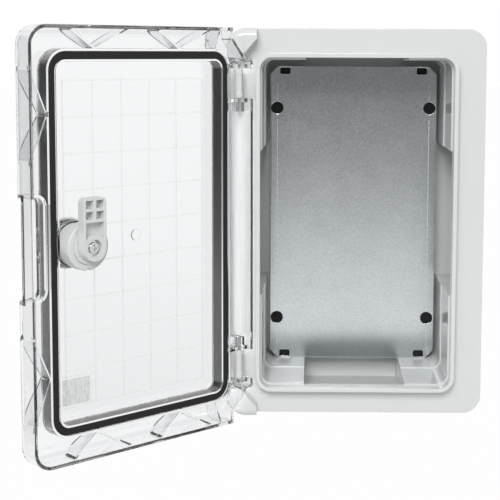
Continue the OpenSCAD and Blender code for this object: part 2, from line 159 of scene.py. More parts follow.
def shut_box(node):
    """Lowest and highest corner of a door node, with the door shut."""
    points = [SHUT @ vertex.co for vertex in NODES[node].data.vertices]
    low = Vector([min(point[i] for point in points) for i in range(3)])
    high = Vector([max(point[i] for point in points) for i in range(3)])
    return low, high


class CabinetSizes(bpy.types.PropertyGroup):
    """Sizes of the looks that the solids leave open."""

    edge: FloatProperty(
        name="Moulded edge", description="Rounding of the moulded edges",
        default=0.4 * MM, min=0, unit="LENGTH")
    sheet_edge: FloatProperty(
        name="Sheet edge", description="Rounding of the plate's cut edges",
        default=0.5 * MM, min=0, unit="LENGTH")
    foam_edge: FloatProperty(
        name="Foam edge", description="Rounding of the gasket",
        default=0.6 * MM, min=0, unit="LENGTH")
    clear_fit: FloatProperty(
        name="Fit in clear plastic", description="Air between the clear door and the pieces set in it",
        default=0.05 * MM, min=0, unit="LENGTH")
    grid_columns: IntProperty(
        name="Window columns", description="Upright lines moulded in the window", default=6, min=2)
    grid_rows: IntProperty(
        name="Window rows", description="Level lines moulded in the window", default=10, min=2)
    grid_left: FloatProperty(
        name="First column", description="Place of the first upright line, from the middle",
        default=-61.4 * MM, unit="LENGTH")
    grid_step_x: FloatProperty(
        name="Column spacing", description="Distance between the upright lines",
        default=24.45 * MM, min=MM, unit="LENGTH")
    grid_step_z: FloatProperty(
        name="Row spacing", description="Distance between the level lines",
        default=25.3 * MM, min=MM, unit="LENGTH")
    grid_mid: FloatProperty(
        name="Middle of the rows", description="Height of the middle of the window's lines",
        default=-1.5 * MM, unit="LENGTH")
    grid_line: FloatProperty(
        name="Window line", description="Width of a line moulded in the window",
        default=1.6 * MM, min=0, unit="LENGTH")
    gate_mark: FloatProperty(
        name="Gate mark", description="Diameter of the step left by the mould's gate",
        default=8.2 * MM, min=0, unit="LENGTH")
    scribe_x: FloatProperty(
        name="Scribed line", description="Distance of the plate's scribed lines from its middle",
        default=63 * MM, min=0, unit="LENGTH")
    hole_across: FloatProperty(
        name="Holes across", description="Distance across between the plate's access holes",
        default=126.4 * MM, min=0, unit="LENGTH")
    hole_up: FloatProperty(
        name="Holes up", description="Distance up between the plate's access holes",
        default=177 * MM, min=0, unit="LENGTH")
    slot_across: FloatProperty(
        name="Slots across", description="Distance across between the plate's slots",
        default=113.2 * MM, min=0, unit="LENGTH")
    slot_up: FloatProperty(
        name="Slots up", description="Distance up between the plate's slots",
        default=238.4 * MM, min=0, unit="LENGTH")
    # The cap sizes below shape the dark caps that paint the shade of the wells and bores behind the
    # plate's holes and slots.
    cap_radius: FloatProperty(
        name="Cap radius", description="Radius of the soft caps in the plate's access holes",
        default=4.97 * MM, min=0, unit="LENGTH")
    cap_length: FloatProperty(
        name="Cap length", description="Length of the soft caps in the plate's slots",
        default=8.34 * MM, min=0, unit="LENGTH")
    cap_width: FloatProperty(
        name="Cap width", description="Width of the soft caps in the plate's slots",
        default=5.34 * MM, min=0, unit="LENGTH")
    cap_recess: FloatProperty(
        name="Cap recess", description="Distance of the caps' rims behind the plate's face",
        default=0.3 * MM, min=0, unit="LENGTH")


class CabinetColours(bpy.types.PropertyGroup):
    """Colours of the finishes."""

    box: FloatVectorProperty(
        name="Box", description="Light grey of the moulded box",
        default=(0.735, 0.75, 0.745), subtype="COLOR", min=0, max=1)
    lock: FloatVectorProperty(
        name="Lock", description="Grey of the lock's mouldings",
        default=(0.72, 0.735, 0.725), subtype="COLOR", min=0, max=1)
    sheet: FloatVectorProperty(
        name="Sheet", description="Galvanised steel of the plate",
        default=(0.70, 0.735, 0.755), subtype="COLOR", min=0, max=1)
    foam: FloatVectorProperty(
        name="Foam", description="Black of the gasket",
        default=(0.012, 0.012, 0.013), subtype="COLOR", min=0, max=1)
    floor: FloatVectorProperty(
        name="Floor", description="Pale floor under the cabinet",
        default=(0.82, 0.82, 0.82), subtype="COLOR", min=0, max=1)


class CabinetStage(bpy.types.PropertyGroup):
    """Light and camera."""

    key: FloatProperty(
        name="Key light", description="Power of the soft light in front",
        default=31, min=0, unit="POWER")
    fill: FloatProperty(
        name="Fill", description="Strength of the even light from all round", default=0.5, min=0)
    floor_drop: FloatProperty(
        name="Floor", description="Distance of the floor below the cabinet's middle",
        default=1.0, min=0, unit="LENGTH")
    lens: FloatProperty(
        name="Lens", description="Focal length of the camera on a 36 mm frame", default=91.08, min=1)


class Wire:
    """An output of a node, for use in Python expressions."""

    def __init__(self, graph, socket):
        self.graph = graph
        self.socket = socket

    def maths(self, operation, first, second):
        return self.graph.add("ShaderNodeMath", {"operation": operation}, {0: first, 1: second})

    def other(self, name):
        return Wire(self.graph, self.socket.node.outputs[name])

    def __add__(self, other):
        return self.maths("ADD", self, other)

    def __sub__(self, other):
        return self.maths("SUBTRACT", self, other)

    def __rsub__(self, other):
        return self.maths("SUBTRACT", other, self)

    def __mul__(self, other):
        return self.maths("MULTIPLY", self, other)

    def __abs__(self):
        return self.maths("ABSOLUTE", self, 0.0)

    def __lt__(self, other):
        return self.maths("LESS_THAN", self, other)

    def __gt__(self, other):
        return self.maths("GREATER_THAN", self, other)

    __radd__ = __add__
    __rmul__ = __mul__


class Graph:
    """A node tree that is written as expressions."""

    def __init__(self, tree):
        self.tree = tree

    def add(self, kind, settings=None, inputs=None, out=0):
        node = self.tree.nodes.new(kind)
        for name, value in (settings or {}).items():
            if name == "stops":
                self.stops(node.color_ramp, value)
            else:
                setattr(node, name, value)
        for name, value in (inputs or {}).items():
            self.put(node.inputs[name], value)
        return Wire(self, node.outputs[out])

    def stops(self, ramp, values):
        for spare in range(len(values) - len(ramp.elements)):
            ramp.elements.new(0.5)
        for element, (place, grey) in zip(ramp.elements, values):
            element.position = place
            element.color = (grey, grey, grey, 1)

    def put(self, socket, value):
        if isinstance(value, Wire):
            self.tree.links.new(value.socket, socket)
        else:
            socket.default_value = value

    def blend(self, factor, first, second):
        return self.add("ShaderNodeMix", {"data_type": "RGBA"}, {0: factor, 6: first, 7: second}, 2)

    def noise(self, place, scale, detail=2.0, roughness=0.5):
        sizes = {"Vector": place, "Scale": scale, "Detail": detail, "Roughness": roughness}
        return self.add("ShaderNodeTexNoise", None, sizes)

    def stretched(self, place, scale):
        return self.add("ShaderNodeMapping", {"vector_type": "POINT"}, {
            "Vector": place, "Scale": scale})

    def bump(self, height, depth, strength=1.0):
        return self.add("ShaderNodeBump", None, {
            "Height": height, "Distance": depth, "Strength": strength})


def shade(colour, factor):
    """A colour made lighter or darker, with full cover."""
    return tuple(min(1.0, part * factor) for part in colour[:3]) + (1.0,)


class Finish(Graph):
    """A material with one main shader and its object coordinates."""

    def __init__(self, name, **constants):
        self.material = bpy.data.materials.new(name)
        self.material.use_nodes = True
        super().__init__(self.material.node_tree)
        self.shader = self.tree.nodes["Principled BSDF"]
        self.place = self.add("ShaderNodeTexCoord", None, None, "Object")
        for socket, value in constants.items():
            self.set(socket, value)

    def set(self, socket, value):
        self.put(self.shader.inputs[socket.replace("_", " ")], value)

    def surface(self, factor, first, second):
        """Shows a mix of two shaders."""
        mixed = self.add("ShaderNodeMixShader", None, {0: factor, 1: first, 2: second})
        self.put(self.tree.nodes["Material Output"].inputs["Surface"], mixed)


def moulded_plastic(name, colour, gloss):
    """Smooth moulded plastic with a faint cloudiness and a fine orange-peel skin."""
    finish = Finish(name, IOR=1.53)
    cloud = finish.noise(finish.place, scale=18, detail=3)
    finish.set("Base_Color", finish.blend(cloud, shade(colour, 0.992), shade(colour, 1.008)))
    wear = finish.noise(finish.place, scale=70, detail=3)
    finish.set("Roughness", gloss + 0.03 * wear)
    skin = finish.noise(finish.place, scale=900, detail=1)
    finish.set("Normal", finish.bump(skin, depth=0.002 * MM, strength=0.25))
    return finish.material


def galvanised_sheet(colour):
    """Galvanised steel with a fine dull spangle."""
    finish = Finish("galvanised_sheet", Metallic=1.0)
    cloud = finish.noise(finish.place, scale=60, detail=3)
    speckle = finish.noise(finish.place, scale=700, detail=2, roughness=0.6)
    tone = 0.25 * cloud + 0.75 * speckle
    finish.set("Base_Color", finish.blend(tone, shade(colour, 0.68), shade(colour, 1.27)))
    finish.set("Roughness", 0.18 + 0.08 * tone)
    finish.set("Normal", finish.bump(speckle, depth=0.015 * MM, strength=0.35))
    return finish.material


def clear_plastic():
    """Clear moulded plastic with a faint ripple."""
    finish = Finish("clear_plastic", IOR=1.585, Transmission_Weight=1.0)
    finish.set("Base_Color", CLEAR_TINT)
    wear = finish.noise(finish.place, scale=120, detail=2)
    finish.set("Roughness", 0.008 + 0.012 * wear)
    ripple = finish.noise(finish.place, scale=30, detail=1)
    finish.set("Normal", finish.bump(ripple, depth=0.02 * MM, strength=0.5))
    return finish.material


def window_line(name, colour, cover):
    """Shallow moulded line drawn as a thin translucent film whose colour paints the light that the clear
    ridge catches: white for a painted highlight, grey for painted shade.
    """
    finish = Finish(name, IOR=1.585, Roughness=0.45)
    wave = finish.noise(finish.place, scale=45, detail=2)
    finish.set("Base_Color", finish.blend(wave, shade(colour, 0.97), shade(colour, 1.03)))
    finish.set("Alpha", cover * (0.8 + 0.4 * wave))
    return finish.material


def frosted_field(colour):
    """Bare etched field, with the fine upright marks of its tool."""
    finish = Finish("frosted_field", IOR=1.585, Roughness=0.6)
    marks = finish.noise(finish.stretched(finish.place, (520, 520, 130)), scale=1, detail=3, roughness=0.7)
    finish.set("Base_Color", finish.blend(marks, shade(colour, 0.9), shade(colour, 1.1)))
    finish.set("Alpha", (marks - 0.12) * 0.62)
    return finish.material


def gate_step(colour):
    """Step round the gate, with painted shade that darkens it where it turns to the door's free side."""
    finish = Finish("gate_step", IOR=1.585, Roughness=0.4)
    angle = math.radians(-HINGE["range_deg"][0])
    shut = finish.add("ShaderNodeMapping", {"vector_type": "POINT"}, {
        "Vector": finish.place, "Location": SHUT.to_translation(), "Rotation": (0, 0, angle)})
    along = finish.add("ShaderNodeSeparateXYZ", None, {0: shut}, "X")
    wave = finish.noise(finish.place, scale=300, detail=2)
    finish.set("Base_Color", finish.blend(wave, shade(colour, 0.8), shade(colour, 1.2)))
    # painted shade: the ring's cover grows towards the door's free side
    turned = (along > 0) * along * (1 / (4 * MM))
    finish.set("Alpha", 0.06 + 0.8 * (turned * turned))
    return finish.material


def soft_black(name, colour, grain, depth):
    """Matt foam or rubber with a fine open skin, also used as the painted shade of the caps in the plate's
    holes and slots.
    """
    finish = Finish(name, Roughness=0.82, IOR=1.45)
    pores = finish.noise(finish.place, grain, 3, 0.6)
    finish.set("Base_Color", finish.blend(pores, shade(colour, 0.6), shade(colour, 1.7)))
    finish.set("Normal", finish.bump(pores, depth=depth, strength=0.7))
    return finish.material


def bright_metal(name, colour, rough):
    """Turned and plated metal with fine tool marks."""
    finish = Finish(name, Metallic=1.0)
    marks = finish.noise(finish.stretched(finish.place, (2600, 2600, 500)), scale=1, detail=2)
    finish.set("Base_Color", finish.blend(marks, shade(colour, 0.85), shade(colour, 1.08)))
    finish.set("Roughness", rough + 0.12 * marks)
    finish.set("Normal", finish.bump(marks, depth=0.004 * MM, strength=0.4))
    return finish.material


def scribed_metal(colour):
    """Bright scratch of a scribed line."""
    finish = Finish("scribed_metal", Metallic=1.0)
    skip = finish.noise(finish.stretched(finish.place, (1, 1, 260)), scale=1, detail=2, roughness=0.7)
    finish.set("Base_Color", finish.blend(skip, shade(colour, 1.05), shade(colour, 1.5)))
    finish.set("Roughness", 0.5 + 0.1 * skip)
    return finish.material


def paint(piece, material):
    """Gives a piece its one finish."""
    piece.data.materials.clear()
    piece.data.materials.append(material)


def link(name, mesh):
    """A new object of the scene."""
    piece = bpy.data.objects.new(name, mesh)
    bpy.context.scene.collection.objects.link(piece)
    return piece


def as_mesh(shape, name):
    """Plain mesh of a shape, which is freed."""
    mesh = bpy.data.meshes.new(name)
    shape.to_mesh(mesh)
    shape.free()
    return mesh


def trim(shape):
    """Closes up the tight corners of a rounded shape, where the rounding leaves slivers and flaps."""
    bmesh.ops.remove_doubles(shape, verts=shape.verts, dist=WELD)
    bmesh.ops.dissolve_degenerate(shape, dist=WELD, edges=shape.edges)
    flaps = True
    while flaps:
        flaps = []
        for face in shape.faces:
            sharing = {len(edge.link_faces) for edge in face.edges}
            if 1 in sharing and max(sharing) > 2:
                flaps.append(face)
        bmesh.ops.delete(shape, geom=flaps, context="FACES")
    open_edges = [edge for edge in shape.edges if edge.is_boundary]
    bmesh.ops.holes_fill(shape, edges=open_edges)


def rounded(node, radius, segments=2, shrink=0.0):
    """Mesh of a node with its flat faces joined, its edges rounded and its skin drawn in by a fit."""
    shape = bmesh.new()
    shape.from_mesh(NODES[node].data)
    bmesh.ops.remove_doubles(shape, verts=shape.verts, dist=WELD)
    bmesh.ops.dissolve_limit(shape, angle_limit=FLAT, verts=shape.verts, edges=shape.edges)
    if shrink:
        inward = [(vertex, vertex.normal * vertex.calc_shell_factor()) for vertex in shape.verts]
        for vertex, normal in inward:
            vertex.co -= normal * shrink
    sharp = [edge for edge in shape.edges if edge.is_manifold and edge.calc_face_angle() > SHARP]
    if radius:
        skin = BVHTree.FromBMesh(shape)
        bmesh.ops.bevel(
            shape, geom=sharp, offset=radius, offset_type="OFFSET", segments=segments, profile=0.5,
            affect="EDGES", clamp_overlap=False, loop_slide=True)
        for vertex in shape.verts:
            near, normal, index, gap = skin.find_nearest(vertex.co)
            if gap > STRAY_SHARE * radius:
                vertex.co = near
        trim(shape)
    for face in shape.faces:
        face.smooth = True
    for edge in shape.edges:
        edge.smooth = not edge.is_manifold or edge.calc_face_angle() < SMOOTH
    return as_mesh(shape, node)


def dress(node, material, radius, segments=2, shrink=0.0):
    """Puts a finished piece in place of a node."""
    piece = link(node + "_finished", rounded(node, radius, segments, shrink))
    even = piece.modifiers.new("Even faces", "WEIGHTED_NORMAL")
    even.keep_sharp = True
    paint(piece, material)
    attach(piece, NODES[node]["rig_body"])
    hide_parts(node)
    return piece


def coat(node, material):
    """Finishes a node as it is."""
    paint(NODES[node], material)


class PatternTree(Graph):
    """A Geometry Nodes tree with named inputs, ending in a plain mesh with one material."""

    def __init__(self, name):
        super().__init__(bpy.data.node_groups.new(name, "GeometryNodeTree"))
        self.tree.interface.new_socket("Geometry", in_out="OUTPUT", socket_type="NodeSocketGeometry")
        self.entry = self.tree.nodes.new("NodeGroupInput")
        self.exit = self.tree.nodes.new("NodeGroupOutput")
        self.values = {}

    def input(self, name, kind, value):
        socket = self.tree.interface.new_socket(name, in_out="INPUT", socket_type=kind)
        self.values[socket.identifier] = value
        return Wire(self, self.entry.outputs[name])

    def length(self, name, value):
        return self.input(name, "NodeSocketFloat", value)

    def number(self, name, value):
        return self.input(name, "NodeSocketInt", value)

    def vector(self, x, y, z):
        return self.add("ShaderNodeCombineXYZ", None, {0: x, 1: y, 2: z})

    def line(self, count, start, step):
        return self.add("GeometryNodeMeshLine", {"mode": "OFFSET"}, {
            "Count": count, "Start Location": start, "Offset": step})

    def copies(self, points, shape):
        return self.add("GeometryNodeInstanceOnPoints", None, {"Points": points, "Instance": shape})

    def extruded(self, mesh, chosen, depth):
        grown = self.add("GeometryNodeExtrudeMesh", {"mode": "FACES"}, {
            "Mesh": mesh, "Selection": chosen, "Offset Scale": depth, "Individual": False})
        return grown, grown.other("Top")

    def joined(self, parts):
        join = self.tree.nodes.new("GeometryNodeJoinGeometry")
        for part in parts:
            self.tree.links.new(part.socket, join.inputs[0])
        return Wire(self, join.outputs[0])

    def dished(self, face, depth):
        """A flat face made into a closed cap with a hollow front."""
        body, front = self.extruded(face, True, depth)
        rim, front = self.extruded(body, front, 0.0)
        inset = self.add("GeometryNodeScaleElements", None, {
            "Geometry": rim, "Selection": front, "Scale": CAP_INSET})
        hollow = self.extruded(inset, front, depth * -CAP_HOLLOW)[0]
        back = self.add("GeometryNodeFlipFaces", None, {"Mesh": face})
        both = self.joined((hollow, back))
        return self.add("GeometryNodeMergeByDistance", None, {0: both, "Distance": WELD})

    def finish(self, parts, material):
        whole = self.add("GeometryNodeRealizeInstances", None, {0: self.joined(parts)})
        chosen = self.input("Finish", "NodeSocketMaterial", material)
        coated = self.add("GeometryNodeSetMaterial", None, {"Geometry": whole, "Material": chosen})
        self.tree.links.new(coated.socket, self.exit.inputs[0])

    def mesh(self, name):
        """Plain mesh of what the tree makes."""
        carrier = link(name + "_pattern", bpy.data.meshes.new(name))
        modifier = carrier.modifiers.new(name, "NODES")
        modifier.node_group = self.tree
        for identifier, value in self.values.items():
            modifier[identifier] = value
        shown = carrier.evaluated_get(bpy.context.evaluated_depsgraph_get())
        mesh = bpy.data.meshes.new_from_object(shown)
        bpy.data.objects.remove(carrier)
        return mesh


def window_lines(name, count, start, step, size, material):
    """Mesh of a row of lines moulded in the window, with the door shut."""
    tree = PatternTree(name)
    lines = tree.number("Lines", count)
    first = tree.vector(*(tree.length("First " + axis, value) for axis, value in zip("XYZ", start)))
    pitch = tree.vector(*(tree.length("Spacing " + axis, value) for axis, value in zip("XYZ", step)))
    span = tree.vector(*(tree.length("Size " + axis, value) for axis, value in zip("XYZ", size)))
    bar = tree.add("GeometryNodeMeshCube", None, {"Size": span})
    tree.finish([tree.copies(tree.line(lines, first, pitch), bar)], material)
    return tree.mesh(name)


def window_grid(sizes, surface):
    """Meshes of the window's level and upright lines, with the door shut."""
    run_x = sizes.grid_step_x * (sizes.grid_columns - 1)
    run_z = sizes.grid_step_z * (sizes.grid_rows - 1)
    left, middle = sizes.grid_left, sizes.grid_mid
    # painted light: the level lines get the highlight white, the upright lines the shaded grey, though
    # both are the same moulded ridge
    levels = window_lines(
        "level_lines", sizes.grid_rows, (left + run_x / 2, surface, middle - run_z / 2),
        (0, 0, sizes.grid_step_z), (run_x, MARK_HEIGHT, sizes.grid_line),
        window_line("level_line", LINE_HIGHLIGHT_WHITE, 0.12))
    uprights = window_lines(
        "upright_lines", sizes.grid_columns, (left, surface + MARK_HEIGHT, middle),
        (sizes.grid_step_x, 0, 0), (sizes.grid_line, MARK_HEIGHT, run_z),
        window_line("upright_line", UPRIGHT_SHADE_GREY, 0.14))
    return levels, uprights


def plate_caps(sizes, material):
    """Mesh of the dark dished caps set into the plate's four access holes and four slots, which paint the
    shade of the wells and pillar bores behind them.
    """
    low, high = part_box("mounting_plate")
    thick = high.y - low.y - sizes.cap_recess - sizes.clear_fit
    tree = PatternTree("plate_caps")
    depth = tree.length("Thickness", thick)
    radius = tree.length("Radius", sizes.cap_radius)
    length = tree.length("Slot length", sizes.cap_length)
    width = tree.length("Slot width", sizes.cap_width)
    disc = tree.add("GeometryNodeMeshCircle", {"fill_type": "NGON"}, {"Vertices": 40, "Radius": radius})
    outline = tree.add("GeometryNodeCurvePrimitiveQuadrilateral", None, {
        "Width": length, "Height": width})
    turned = tree.add("GeometryNodeFilletCurve", {"mode": "POLY"}, {
        "Curve": outline, "Count": 5, "Radius": width * SLOT_CORNER})
    lozenge = tree.add("GeometryNodeFillCurve", {"mode": "NGONS"}, {"Curve": turned})
    rows = []
    for name, shape, across, up in (("Holes", disc, sizes.hole_across, sizes.hole_up),
                                    ("Slots", lozenge, sizes.slot_across, sizes.slot_up)):
        corners = tree.add("GeometryNodeMeshGrid", None, {
            "Size X": tree.length(name + " across", across), "Size Y": tree.length(name + " up", up),
            "Vertices X": 2, "Vertices Y": 2})
        rows.append(tree.copies(corners, tree.dished(shape, depth)))
    tree.finish(rows, material)
    mesh = tree.mesh("plate_caps")
    middle = Vector((0, low.y + sizes.cap_recess + thick, (low.z + high.z) / 2))
    mesh.transform(Matrix.Translation(middle) @ Matrix.Rotation(math.pi / 2, 4, "X"))
    return mesh


def scribed_lines(sizes, material):
    """Mesh of the two scribed lines on the plate, each a row of short scratches."""
    low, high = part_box("mounting_plate")
    pitch = (high.z - low.z - SCRIBE_ENDS) / SCRIBE_COUNT
    tree = PatternTree("scribed_lines")
    dashes = tree.number("Dashes", SCRIBE_COUNT)
    step = tree.length("Spacing", pitch)
    width = tree.length("Width", SCRIBE_WIDTH)
    side = tree.length("Distance from the middle", sizes.scribe_x)
    middle = tree.length("Middle of the holes", (low.z + high.z) / 2)
    hole = tree.length("Height of the holes", sizes.hole_up / 2)
    room = tree.length("Room for a hole", HOLE_ROOM)
    span = tree.vector(width, MARK_HEIGHT, step * SCRIBE_SHARE)
    dash = tree.add("GeometryNodeMeshCube", None, {"Size": span})
    place = tree.add("GeometryNodeInputPosition")
    height = tree.add("ShaderNodeSeparateXYZ", None, {0: place}, "Z")
    over_hole = abs(abs(height - middle) - hole) < room
    rows = []
    for sign in (-1, 1):
        start = tree.vector(side * sign, low.y - SCRIBE_PROUD, low.z + SCRIBE_START)
        points = tree.line(dashes, start, tree.vector(0.0, 0.0, step))
        kept = tree.add("GeometryNodeDeleteGeometry", {"domain": "POINT"}, {0: points, 1: over_hole})
        rows.append(tree.copies(kept, dash))
    tree.finish(rows, material)
    return tree.mesh("scribed_lines")


def box_mesh(name, low, high):
    """Mesh of a box between two corners."""
    shape = bmesh.new()
    bmesh.ops.create_cube(shape, size=1)
    middle = (Vector(low) + Vector(high)) / 2
    span = Vector(high) - Vector(low)
    bmesh.ops.transform(shape, matrix=Matrix.LocRotScale(middle, None, span), verts=shape.verts)
    return as_mesh(shape, name)


def round_outline(low, high, out, radius, steps=6):
    """Points (x, z) round a box that is grown by out, with round corners."""
    points = []
    for turn, (x, z) in enumerate(((high.x, high.z), (low.x, high.z), (low.x, low.z), (high.x, low.z))):
        side = (1 if x == high.x else -1, 1 if z == high.z else -1)
        centre = (x + side[0] * (out - radius), z + side[1] * (out - radius))
        for step in range(steps + 1):
            angle = math.pi / 2 * (turn + step / steps)
            points.append((centre[0] + radius * math.cos(angle), centre[1] + radius * math.sin(angle)))
    return points


def frame_mesh(name, low, high, gap, width, radius):
    """Mesh of a flat frame with round corners round a box."""
    shape = bmesh.new()
    rings = []
    for out, y in ((gap, low.y), (gap + width, low.y), (gap + width, high.y), (gap, high.y)):
        outline = round_outline(low, high, out, radius + out - gap)
        rings.append([shape.verts.new((x, y, z)) for x, z in outline])
    for here, there in zip(rings, rings[1:] + rings[:1]):
        for i in range(len(here)):
            j = (i + 1) % len(here)
            shape.faces.new((here[i], here[j], there[j], there[i]))
    bmesh.ops.recalc_face_normals(shape, faces=shape.faces)
    return as_mesh(shape, name)


def revolved(name, profile, steps=48):
    """Mesh of a closed profile of (radius, height) turned about Z."""
    shape = bmesh.new()
    rings = []
    for turn in range(steps):
        angle = 2 * math.pi * turn / steps
        across, along = math.cos(angle), math.sin(angle)
        rings.append([shape.verts.new((r * across, r * along, z)) for r, z in profile])
    for turn in range(steps):
        here, there = rings[turn], rings[(turn + 1) % steps]
        for i in range(len(profile)):
            j = (i + 1) % len(profile)
            shape.faces.new((here[i], there[i], there[j], here[j]))
    bmesh.ops.remove_doubles(shape, verts=shape.verts, dist=WELD)
    bmesh.ops.recalc_face_normals(shape, faces=shape.faces)
    for face in shape.faces:
        face.smooth = True
    return as_mesh(shape, name)


class CABINET_OT_mould_box(bpy.types.Operator):
    """Finish the moulded box and its clip-in hinge knuckles"""

    bl_idname = "cabinet.mould_box"
    bl_label = "Mould the box"

    def execute(self, context):
        sizes = context.scene.cabinet_sizes
        colours = context.scene.cabinet_colours
        plastic = moulded_plastic("box_plastic", colours.box, gloss=0.11)
        dress("enclosure_body", plastic, sizes.edge)
        for node in ("hinge_knuckle_upper", "hinge_knuckle_lower"):
            dress(node, plastic, sizes.edge / 2)
        return {"FINISHED"}


class CABINET_OT_fit_plate(bpy.types.Operator):
    """Finish the mounting plate, scribe its two lines and set dark caps in its holes and slots that paint
    the shade behind them
    """

    bl_idname = "cabinet.fit_plate"
    bl_label = "Fit the plate"

    def execute(self, context):
        sizes = context.scene.cabinet_sizes
        colours = context.scene.cabinet_colours
        dress("mounting_plate", galvanised_sheet(colours.sheet), sizes.sheet_edge)
        scribe = scribed_metal(colours.sheet)
        lines = link("scribed_lines", scribed_lines(sizes, scribe))
        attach(lines, "enclosure")
        # painted shade: this black rubber finish on the caps stands for the shadowed wells and bores
        # behind the holes and slots
        rubber = soft_black("cap_rubber", HOLE_SHADE_BLACK, grain=700, depth=0.02 * MM)
        caps = link("plate_caps", plate_caps(sizes, rubber))
        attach(caps, "enclosure")
        return {"FINISHED"}


class CABINET_OT_hang_door(bpy.types.Operator):
    """Finish the clear door, its gasket and its hinge pins"""

    bl_idname = "cabinet.hang_door"
    bl_label = "Hang the door"

    def execute(self, context):
        sizes = context.scene.cabinet_sizes
        colours = context.scene.cabinet_colours
        door = dress("door_cover", clear_plastic(), sizes.edge)
        door.visible_shadow = False
        foam = soft_black("gasket_foam", colours.foam, grain=1500, depth=0.08 * MM)
        dress("door_gasket", foam, sizes.foam_edge, segments=3, shrink=sizes.clear_fit)
        pin = bright_metal("pin_steel", PIN_STEEL, rough=0.25)
        for node in ("hinge_pin_upper", "hinge_pin_lower"):
            dress(node, pin, PIN_EDGE, shrink=sizes.clear_fit)
        return {"FINISHED"}


class CABINET_OT_mark_window(bpy.types.Operator):
    """Add the lines, the gate mark and the framed frosted field that are moulded on the window"""

    bl_idname = "cabinet.mark_window"
    bl_label = "Mark the window"

    def execute(self, context):
        sizes = context.scene.cabinet_sizes
        surface = shut_box("door_gasket")[0].y + MARK_GAP
        levels, uprights = window_grid(sizes, surface)
        radius = sizes.gate_mark / 2
        inside, outside = radius - GATE_INSIDE, radius + GATE_OUTSIDE
        ring = revolved("gate_mark", (
            (inside, 0), (inside, GATE_HEIGHT), (outside, GATE_HEIGHT), (outside, 0)))
        facing = Matrix.Rotation(-math.pi / 2, 4, "X")
        ring.transform(Matrix.Translation((0, surface, GATE_MIDDLE)) @ facing)
        ring.materials.append(gate_step(GATE_SHADE_GREY))
        low = Vector((FIELD_X[0], surface, FIELD_Z[0]))
        high = Vector((FIELD_X[1], surface + MARK_HEIGHT, FIELD_Z[1]))
        field = box_mesh("frosted_field", low, high)
        field.materials.append(frosted_field(FIELD_GREY))
        border = frame_mesh("field_frame", low, high, FRAME_GAP, FRAME_WIDTH, FRAME_CORNER)
        # painted highlight: the field's frame takes the same white as the level lines
        border.materials.append(window_line("field_frame", LINE_HIGHLIGHT_WHITE, 0.3))
        for name, mesh in (("level_lines", levels), ("upright_lines", uprights), ("gate_mark", ring),
                           ("frosted_field", field), ("field_frame", border)):
            mesh.transform(OPEN)
            piece = link(name, mesh)
            piece.visible_shadow = False
            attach(piece, "door")
        return {"FINISHED"}


class CABINET_OT_fit_lock(bpy.types.Operator):
    """Finish the quarter-turn lock, from its head to the screw of its cam"""

    bl_idname = "cabinet.fit_lock"
    bl_label = "Fit the lock"

    def execute(self, context):
        sizes = context.scene.cabinet_sizes
        colours = context.scene.cabinet_colours
        grey = moulded_plastic("lock_plastic", colours.lock, gloss=0.3)
        dark = moulded_plastic("rotor_plastic", ROTOR_DARK, gloss=0.4)
        rubber = soft_black("seal_rubber", SEAL_BLACK, grain=900, depth=0.02 * MM)
        zinc = bright_metal("zinc_plate", ZINC, rough=0.08)
        brass = bright_metal("turned_brass", BRASS, rough=0.25)
        dress("lock_cam", grey, sizes.edge)
        dress("lock_drum_nut", grey, sizes.edge, shrink=sizes.clear_fit)
        dress("lock_housing", grey, sizes.edge / 2, shrink=sizes.clear_fit)
        dress("lock_rotor", dark, sizes.edge / 2)
        dress("lock_seal", rubber, sizes.edge / 4, shrink=sizes.clear_fit)
        dress("cam_screw", zinc, SCREW_EDGE)
        dress("cam_washer", zinc, WASHER_EDGE)
        coat("rotor_o_ring", rubber)
        coat("rotor_insert", brass)
        return {"FINISHED"}


def plane(name, corners):
    """Mesh object of one face."""
    mesh = bpy.data.meshes.new(name)
    mesh.from_pydata(corners, [], [tuple(range(len(corners)))])
    return link(name, mesh)


def seen_ray(graph):
    """One for the rays that show the background: those of the camera, of gloss and of clear pieces."""
    path = graph.tree.nodes.new("ShaderNodeLightPath")
    rays = [Wire(graph, path.outputs[kind]) for kind in
            ("Is Camera Ray", "Is Glossy Ray", "Is Transmission Ray", "Diffuse Depth")]
    return ((rays[0] + rays[1] + rays[2]) > 0.5) * (rays[3] < 0.5)


def floor_paint(colour):
    """Pale floor that shows near white, with a trace of the cabinet's shadow."""
    finish = Finish("floor_paint", Roughness=0.9)
    cloud = finish.noise(finish.place, scale=3, detail=2)
    finish.set("Base_Color", finish.blend(cloud, shade(colour, 0.99), shade(colour, 1.01)))
    glow = finish.add("ShaderNodeEmission", None, {"Color": WHITE, "Strength": 1.0})
    finish.surface(seen_ray(finish) * FLOOR_GLOW, Wire(finish, finish.shader.outputs[0]), glow)
    return finish.material


def screen_paint(name, low, high, stops):
    """Studio screen with grey tones from its foot up, there for reflections only."""
    finish = Finish(name, Roughness=1.0)
    up = finish.add("ShaderNodeSeparateXYZ", None, {0: finish.place}, "Z")
    height = (up - low) * (1 / (high - low))
    tone = finish.add("ShaderNodeValToRGB", {"stops": stops}, {0: height})
    glow = finish.add("ShaderNodeEmission", None, {"Color": tone, "Strength": 1.0})
    clear = finish.add("ShaderNodeBsdfTransparent")
    mirrored = finish.add("ShaderNodeLightPath", None, None, "Glossy Depth") > 0.5
    finish.surface(mirrored, clear, glow)
    return finish.material


